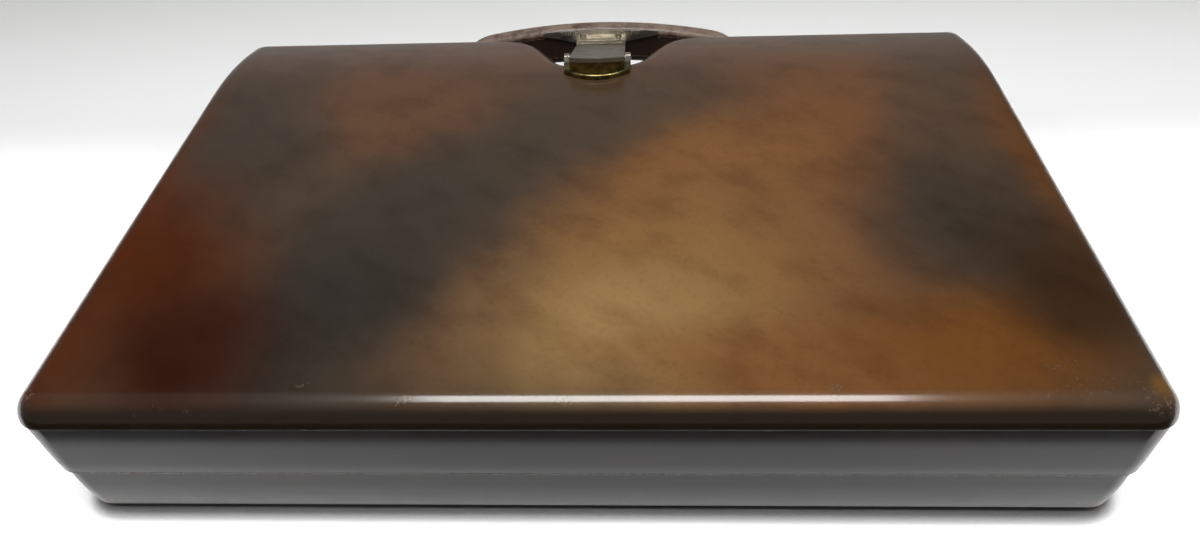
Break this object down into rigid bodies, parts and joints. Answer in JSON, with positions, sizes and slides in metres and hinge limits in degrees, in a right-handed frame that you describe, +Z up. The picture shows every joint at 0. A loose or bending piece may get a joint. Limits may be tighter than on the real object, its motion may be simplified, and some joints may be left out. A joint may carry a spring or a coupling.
{
  "type": "briefcase",
  "caption": "Flat rigid leather-covered clamshell case with a hand-hold bay, bowed handle, rocking latch, leather hinge and an inner document pocket.",
  "frame": {"origin": "centre of the case's resting face, under the base", "axes": "+X along the width, +Y towards the hand-hold, handle and latch, +Z upwards through the lid"},
  "size_m": [0.42, 0.2926, 0.0813],
  "materials": {
    "face_leather": "glossy lacquered leather, antiqued mottled brown",
    "wall_leather": "glossy near-black brown leather",
    "rim_leather": "dark brown edge leather",
    "bottom_leather": "dark brown grained leather",
    "hinge_leather": "supple brown hinge leather",
    "handle_leather": "worn reddish brown leather",
    "lining": "tan suede cloth lining",
    "pocket_leather": "smooth tan leather",
    "wood": "pale plywood and solid wood",
    "steel": "plain steel strip",
    "nickel": "nickel plate, lightly worn",
    "brass": "aged brass"
  },
  "bodies": {
    "base": {"base_frame": "wood", "base_board": "wood", "base_wall_leather": "wall_leather", "base_bottom_leather": "bottom_leather", "base_rim_leather": "rim_leather", "base_wall_lining": "lining", "base_floor_lining": "lining", "hinge_leather_base": "hinge_leather", "handle_leather_front": "handle_leather", "handle_leather_back": "handle_leather", "handle_core": "steel", "handle_foot_plates": "nickel", "handle_backing_plates": "steel", "handle_rivets": "nickel", "strike_plate": "nickel", "strike_rivets": "nickel"},
    "lid": {"lid_frame": "wood", "lid_board": "wood", "lid_face_leather": "face_leather", "lid_wall_leather": "wall_leather", "lid_rim_leather": "rim_leather", "lid_wall_lining": "lining", "lid_roof_lining": "lining", "hinge_leather_lid": "hinge_leather", "pocket_gusset": "pocket_leather", "pocket_panel": "pocket_leather", "pocket_binding": "pocket_leather", "pocket_rivets": "brass", "latch_body": "brass", "latch_pin": "nickel", "latch_spring": "steel", "latch_screws": "steel", "latch_backing_plate": "steel"},
    "latch": {"latch_tongue": "nickel"}
  },
  "joints": [
    {"name": "lid_hinge", "type": "hinge", "parent": "base", "child": "lid", "pos_m": [0, -0.14, 0.03], "axis": [1, 0, 0], "range_deg": [0, 145]},
    {"name": "latch_lift", "type": "hinge", "parent": "lid", "child": "latch", "pos_m": [0, 0.0935, 0.07177], "axis": [-1, 0, 0], "range_deg": [0, 14], "stiffness_Nm_per_rad": 0.08, "springref_deg": -11.46, "deforming": ["latch_spring"]}
  ]
}
